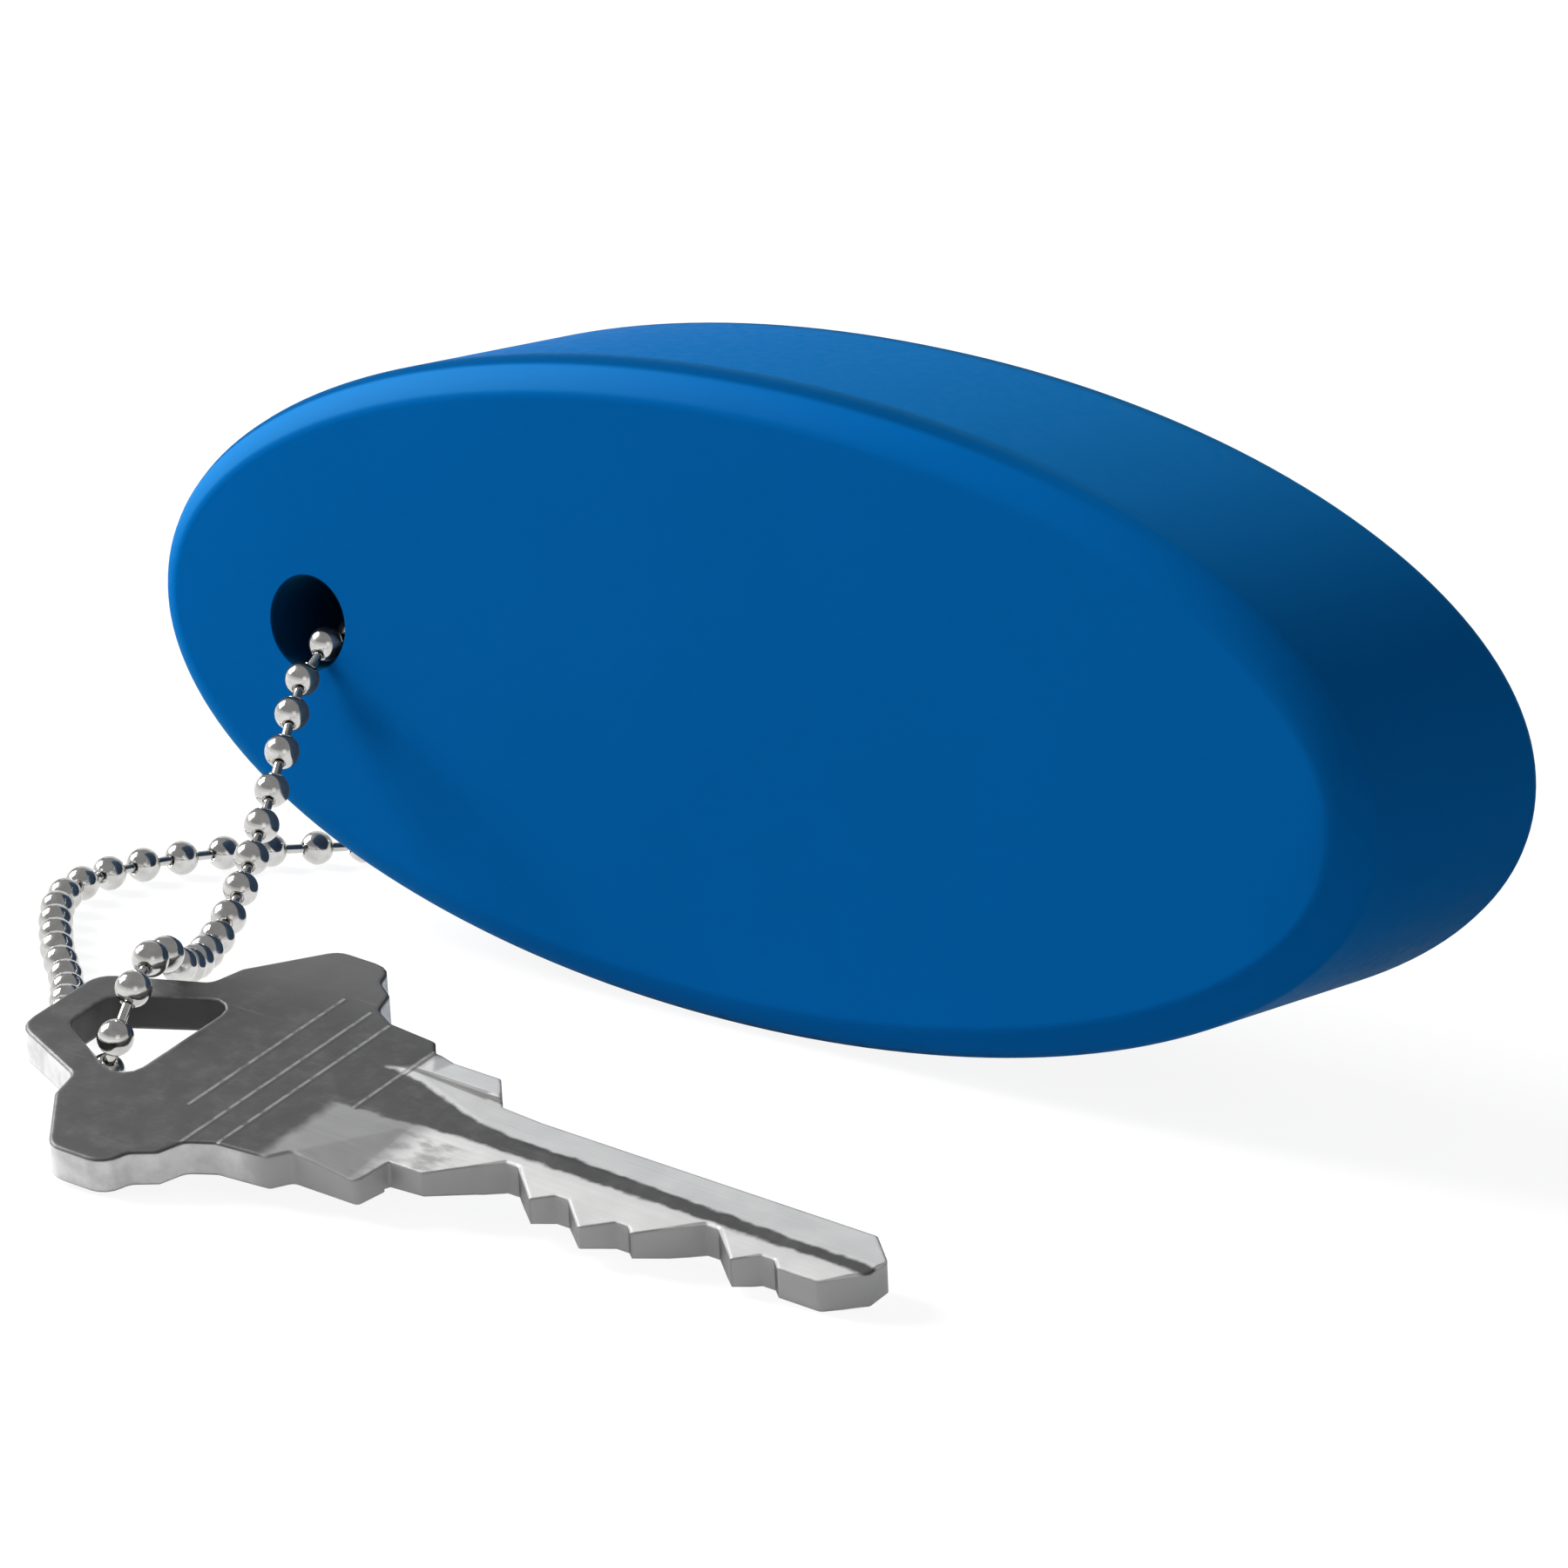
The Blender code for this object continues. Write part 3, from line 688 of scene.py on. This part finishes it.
houseKey = {
    "place": (0.0044, -0.0465, 0.0045),
    "yaw": 1.5,
    "tilt": 14.9,
    "tiltDirection": 15.4,
    "smoothAngles": (34, 5),  # round the outline, and everywhere else
    "roughness": 0.42,
    "grain": (0.2, 0.12),  # how much the streaks and the clouds change it
    "metallic": 0.28,
    "faceNickel": (0.076, 0.076, 0.076),  # the darkened faces
    "rubbedNickel": (0.1368, 0.1368, 0.1368),  # the same, rubbed lighter in clouds
    "rubbing": (650.0, (0.42, 0.72), 0.55),  # scale, span and strength
    "upperEar": ((0.0050, 0.0110), 0.9),  # across the bow, and how much lighter it gets
    "cutNickel": (0.80, 0.80, 0.79),  # where a cutter has bared the metal
    "streakNickel": (0.40, 0.40, 0.395),
    "streakStrength": 0.45,
    "streakScale": (60.0, 3800.0, 3800.0),
    "cloudScale": 420.0,
    "headNickel": (0.29, 0.29, 0.29),  # the milled flat beside the collar
    "headEnd": (0.0048, 0.0072),
    "scratchNickel": (0.34, 0.34, 0.34),
    "edgeNickel": (0.36, 0.36, 0.355),
    "bowWall": (0.78, 0.78, 0.78),
    "bladeWall": (0.37, 0.37, 0.37),
    "holeWall": (0.055, 0.055, 0.055),  # painted shade in the bow's opening, also in the grooves beside the scored lines and on the cuts' ramps
    "wallSlope": (0.35, 0.60),
    "bladeStart": (-0.0012, 0.0008),
    "wallMottle": (700.0, (0.35, 0.70), 0.45),
    "holeTaper": (0.538, 0.01182),  # how the opening in the bow narrows, and how wide it is
    "holeEnds": (-0.0175, -0.0100),
    "flutesFrom": 0.0004,  # along the blade
    "fluteStart": (0.0, 0.0009),
    "fluteEdge": (-0.00012, 0.00022),
    "fluteWander": (800.0, 0.0007),
    "upperFlute": (0.0035, 0.0013, 0.0007),  # its border near the bow, at the first cut and at the tip
    "lowerFlute": (-0.0006, -0.0001, -0.0001),
    "lateStart": ((0.0034, 0.0046), 0.0014),  # the stop is bared a little later than the blade
    "firstCut": 0.0100,
    "tip": 0.0320,
    "ridge": (0.0041, (0.0001, 0.0003), 0.35),  # the step between stop and blade: place, width and depth
    "ridgeEnd": (0.0062, 0.0068),
    "filedStart": (0.0045, 0.0060),  # the worn patch before the first cut
    "filedEnd": (0.0085, 0.0100),
    "filedBelow": -0.0010,
    "filedScale": (700.0, 1500.0, 700.0),
    "filedSpan": (0.40, 0.68),
    "filedStrength": 0.55,
    "cutsFrom": 0.0090,
    "rampWay": Vector((-0.97, -0.24, 0.0)),  # the cuts' ramps toward the bow, which face the key lamp, get painted shade
    "rampSpan": (0.25, 0.60),
    "rampStrength": 0.85,
    "edgeWay": Vector((-0.81, -0.22, 0.54)),  # the edges above them, facing the key lamp, are made matt and get painted shade
    "edgeSpan": (0.62, 0.80),
    "edgeStrength": 0.9,
    "dullFrom": (0.0, 0.6),
    "dullRoughness": 0.85,
    "wornRadius": 0.00030,
    "wornSpan": (0.90, 0.99),
    "wornPatches": (1000.0, (0.40, 0.62), (0.35, 0.75)),
    "scoredLines": {  # place along the key, and its two ends
        "faintLong": (-0.0060, -0.0050, 0.0080),
        "upperPair": (-0.0039, -0.0082, 0.0076),
        "lowerPair": (-0.0022, -0.0075, 0.0070),
        "besideFlute": (0.0015, -0.0008, 0.0064),
    },
    "lineWidth": 0.00015,
    "lineBreaks": (1300.0, (0.30, 0.55), 0.25),
    "grooveShift": 1.6,  # in line widths
    "grooveStrength": 0.6,
    "markStrength": 0.75,
    "topLayer": (-0.00006, -0.00002),
    "scratches": (0.5, 0.4),  # amount and strength
    "milledBump": (0.000012, 0.5),  # depth and strength
    "dentBump": (0.00005, 0.45),
    "dentScale": 520.0,
    "markBump": (0.00003, 0.5),
}


def keyTurn():
    lean = math.radians(houseKey["tiltDirection"])
    axis = Vector((math.cos(lean), math.sin(lean), 0.0))
    yaw = Matrix.Rotation(math.radians(houseKey["yaw"]), 3, "Z")
    return yaw @ Matrix.Rotation(math.radians(houseKey["tilt"]), 3, axis)


def keyAxes(tree, place):
    # the key's own axes: along the blade, across it and up from its face
    own = tree.nodes.new("ShaderNodeMapping")
    own.vector_type = "TEXTURE"
    own.inputs["Location"].default_value = houseKey["place"]
    own.inputs["Rotation"].default_value = keyTurn().to_euler()
    link(tree, place, own.inputs["Vector"])
    split = tree.nodes.new("ShaderNodeSeparateXYZ")
    link(tree, own.outputs["Vector"], split.inputs[0])
    return own.outputs["Vector"], *split.outputs


def scoredLines(tree, along, across, shift):
    lines = 0.0
    for where, low, high in houseKey["scoredLines"].values():
        off = math2(tree, "ABSOLUTE", math2(tree, "SUBTRACT", along, where + shift))
        mark = between(tree, off, (houseKey["lineWidth"] * 0.3, houseKey["lineWidth"]), 1.0, 0.0)
        above = math2(tree, "GREATER_THAN", across, low)
        below = math2(tree, "LESS_THAN", across, high)
        lines = largest(tree, lines, times(tree, mark, above, below))
    return lines


def fluteBorder(tree, along, places):
    near, middle, far = places
    first = between(tree, along, (houseKey["flutesFrom"], houseKey["firstCut"]), near, middle)
    second = between(tree, along, (houseKey["firstCut"], houseKey["tip"]), 0.0, far - middle)
    return math2(tree, "ADD", first, second)


def keyFace(tree, local, along, across, streaks):
    # dark faces, and bright metal in the flutes, whose borders wander a little
    spec = houseKey
    scale, width = spec["fluteWander"]
    wander = times(tree, math2(tree, "SUBTRACT", noise(tree, local, scale), 0.5), width)
    ragged = math2(tree, "ADD", across, wander)
    above = math2(tree, "SUBTRACT", ragged, fluteBorder(tree, along, spec["upperFlute"]))
    below = math2(tree, "SUBTRACT", fluteBorder(tree, along, spec["lowerFlute"]), ragged)
    span, most = spec["lateStart"]
    start = math2(tree, "ADD", along, wander)
    start = math2(tree, "SUBTRACT", start, between(tree, across, span, 0.0, most))
    place, span, least = spec["ridge"]
    ridge = math2(tree, "ABSOLUTE", math2(tree, "SUBTRACT", across, place))
    ridge = largest(tree, between(tree, ridge, span, least), between(tree, along, spec["ridgeEnd"]))
    bared = between(tree, largest(tree, above, below), spec["fluteEdge"])
    bared = times(tree, bared, between(tree, start, spec["fluteStart"]), ridge)
    head = between(tree, start, spec["headEnd"], 1.0, 0.0)
    head = times(tree, head, math2(tree, "LESS_THAN", across, 0.0))
    metal = mixColour(tree, head, spec["cutNickel"], spec["headNickel"])
    blotches = noise(tree, stretched(tree, local, spec["filedScale"]), 1.0)
    filed = between(tree, blotches, spec["filedSpan"], 0.0, spec["filedStrength"])
    filed = times(tree, filed, math2(tree, "LESS_THAN", across, spec["filedBelow"]))
    filed = times(tree, filed, between(tree, along, spec["filedStart"]))
    filed = times(tree, filed, between(tree, along, spec["filedEnd"], 1.0, 0.0))
    metal = mixColour(tree, filed, metal, spec["faceNickel"])
    metal = mixColour(tree, times(tree, streaks, spec["streakStrength"]), metal, spec["streakNickel"])
    scale, span, most = spec["rubbing"]
    rubbed = between(tree, noise(tree, local, scale, 5.0, 0.7), span, 0.0, most)
    span, most = spec["upperEar"]
    rubbed = largest(tree, rubbed, between(tree, across, span, 0.0, most))
    dark = mixColour(tree, rubbed, spec["faceNickel"], spec["rubbedNickel"])
    return mixColour(tree, bared, dark, metal)


def keyWalls(tree, local, along, across, normal):
    # the walls of the outline, of the cuts and of the opening in the bow, with painted shade in the opening
    # and on the cuts' ramps
    spec = houseKey
    walls = mixColour(tree, between(tree, along, spec["bladeStart"]), spec["bowWall"], spec["bladeWall"])
    scale, span, most = spec["wallMottle"]
    mottle = times(tree, between(tree, noise(tree, local, scale, 4.0, 0.6), span), most)
    walls = mixColour(tree, mottle, walls, spec["bladeWall"])
    # the opening in the bow gets painted shade on its walls
    narrowing, width = spec["holeTaper"]
    beside = math2(tree, "ABSOLUTE", across)
    beside = math2(tree, "SUBTRACT", beside, times(tree, along, narrowing))
    hole = math2(tree, "LESS_THAN", beside, width)
    hole = times(tree, hole, math2(tree, "GREATER_THAN", along, spec["holeEnds"][0]))
    hole = times(tree, hole, math2(tree, "LESS_THAN", along, spec["holeEnds"][1]))
    walls = mixColour(tree, hole, walls, spec["holeWall"])
    # painted shade on the cuts' ramps that face the key lamp
    ramp = between(tree, facing(tree, normal, spec["rampWay"]), spec["rampSpan"], 0.0, spec["rampStrength"])
    ramp = times(tree, ramp, math2(tree, "GREATER_THAN", along, spec["cutsFrom"]))
    return mixColour(tree, ramp, walls, spec["holeWall"])


def keyMaterial():
    material, tree, shader, place = newMaterial("wornNickelKey")
    spec = houseKey
    local, along, across, up = keyAxes(tree, place)
    normal = tree.nodes.new("ShaderNodeNewGeometry").outputs["Normal"]
    bevel = tree.nodes.new("ShaderNodeBevel")
    bevel.samples = 8
    bevel.inputs["Radius"].default_value = spec["wornRadius"]
    rounded = bevel.outputs["Normal"]
    streaks = noise(tree, stretched(tree, local, spec["streakScale"]), 1.0, 3.0, 0.6)
    colour = keyFace(tree, local, along, across, streaks)
    # the scored lines, each with painted shade in the groove beside it, and the scratches on the top face
    scale, span, least = spec["lineBreaks"]
    broken = between(tree, noise(tree, local, scale, 2.0), span, least)
    broken = times(tree, broken, between(tree, up, spec["topLayer"]))
    # painted shade in the groove beside each scored line
    shift = spec["lineWidth"] * spec["grooveShift"]
    grooveShade = times(tree, scoredLines(tree, along, across, shift), broken, spec["grooveStrength"])
    colour = mixColour(tree, grooveShade, colour, spec["holeWall"])
    lines = times(tree, scoredLines(tree, along, across, 0.0), broken)
    amount, strength = spec["scratches"]
    scratches = times(tree, groupNode(tree, scratchGroup, local, Amount=amount), strength)
    marks = largest(tree, lines, scratches)
    colour = mixColour(tree, times(tree, marks, spec["markStrength"]), colour, spec["scratchNickel"])
    level = math2(tree, "ABSOLUTE", facing(tree, normal, keyTurn() @ Vector((0.0, 0.0, 1.0))))
    wall = between(tree, level, spec["wallSlope"], 1.0, 0.0)
    colour = mixColour(tree, wall, colour, keyWalls(tree, local, along, across, normal))
    # worn edges, and the ones above the cuts' ramps, made matt and given painted shade where they face the
    # key lamp
    scale, span, strengths = spec["wornPatches"]
    edge = between(tree, facing(tree, normal, rounded), spec["wornSpan"], 1.0, 0.0)
    edge = times(tree, edge, between(tree, noise(tree, local, scale), span, *strengths))
    colour = mixColour(tree, edge, colour, spec["edgeNickel"])
    mattAndShadedEdge = between(tree, facing(tree, rounded, spec["edgeWay"]), spec["edgeSpan"], 0.0, spec["edgeStrength"])
    mattAndShadedEdge = times(tree, mattAndShadedEdge, math2(tree, "GREATER_THAN", along, spec["cutsFrom"]))
    link(tree, mixColour(tree, mattAndShadedEdge, colour, spec["bladeWall"]), shader.inputs["Base Color"])
    link(tree, between(tree, mattAndShadedEdge, spec["dullFrom"], spec["metallic"], 0.0), shader.inputs["Metallic"])
    byStreaks, byClouds = spec["grain"]
    clouds = groupNode(tree, mottleGroup, local, Scale=spec["cloudScale"])
    grain = times(tree, math2(tree, "SUBTRACT", streaks, 0.5), byStreaks)
    grain = math2(tree, "ADD", grain, times(tree, clouds, byClouds))
    grain = math2(tree, "ADD", grain, spec["roughness"])
    matt = between(tree, mattAndShadedEdge, spec["dullFrom"], 0.0, spec["dullRoughness"])
    link(tree, largest(tree, grain, matt), shader.inputs["Roughness"])
    milled = bump(tree, streaks, *spec["milledBump"], rounded)
    dents = bump(tree, noise(tree, local, spec["dentScale"]), *spec["dentBump"], milled)
    sunken = math2(tree, "SUBTRACT", 1.0, marks)
    link(tree, bump(tree, sunken, *spec["markBump"], dents), shader.inputs["Normal"])
    return material


def makeKey():
    shape = bmesh.new()
    shape.from_mesh(cadNodes["house_key"].data)
    bmesh.ops.remove_doubles(shape, verts=shape.verts, dist=1e-7)
    bmesh.ops.recalc_face_normals(shape, faces=shape.faces)
    up = keyTurn() @ Vector((0.0, 0.0, 1.0))
    wallAngle, otherAngle = (math.radians(angle) for angle in houseKey["smoothAngles"])
    for edge in shape.edges:  # only the walls round the outline run into each other softly
        walls = all(abs(face.normal @ up) < 0.5 for face in edge.link_faces)
        edge.smooth = edge.calc_face_angle(0.0) < (wallAngle if walls else otherAngle)
    for face in shape.faces:
        face.smooth = True
    mesh = bpy.data.meshes.new("houseKey")
    shape.to_mesh(mesh)
    shape.free()
    piece = bpy.data.objects.new("houseKey", mesh)
    bpy.context.scene.collection.objects.link(piece)
    piece.data.materials.append(keyMaterial())
    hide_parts("house_key")
    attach(piece, "root")


makeKey()
print("key is ready")
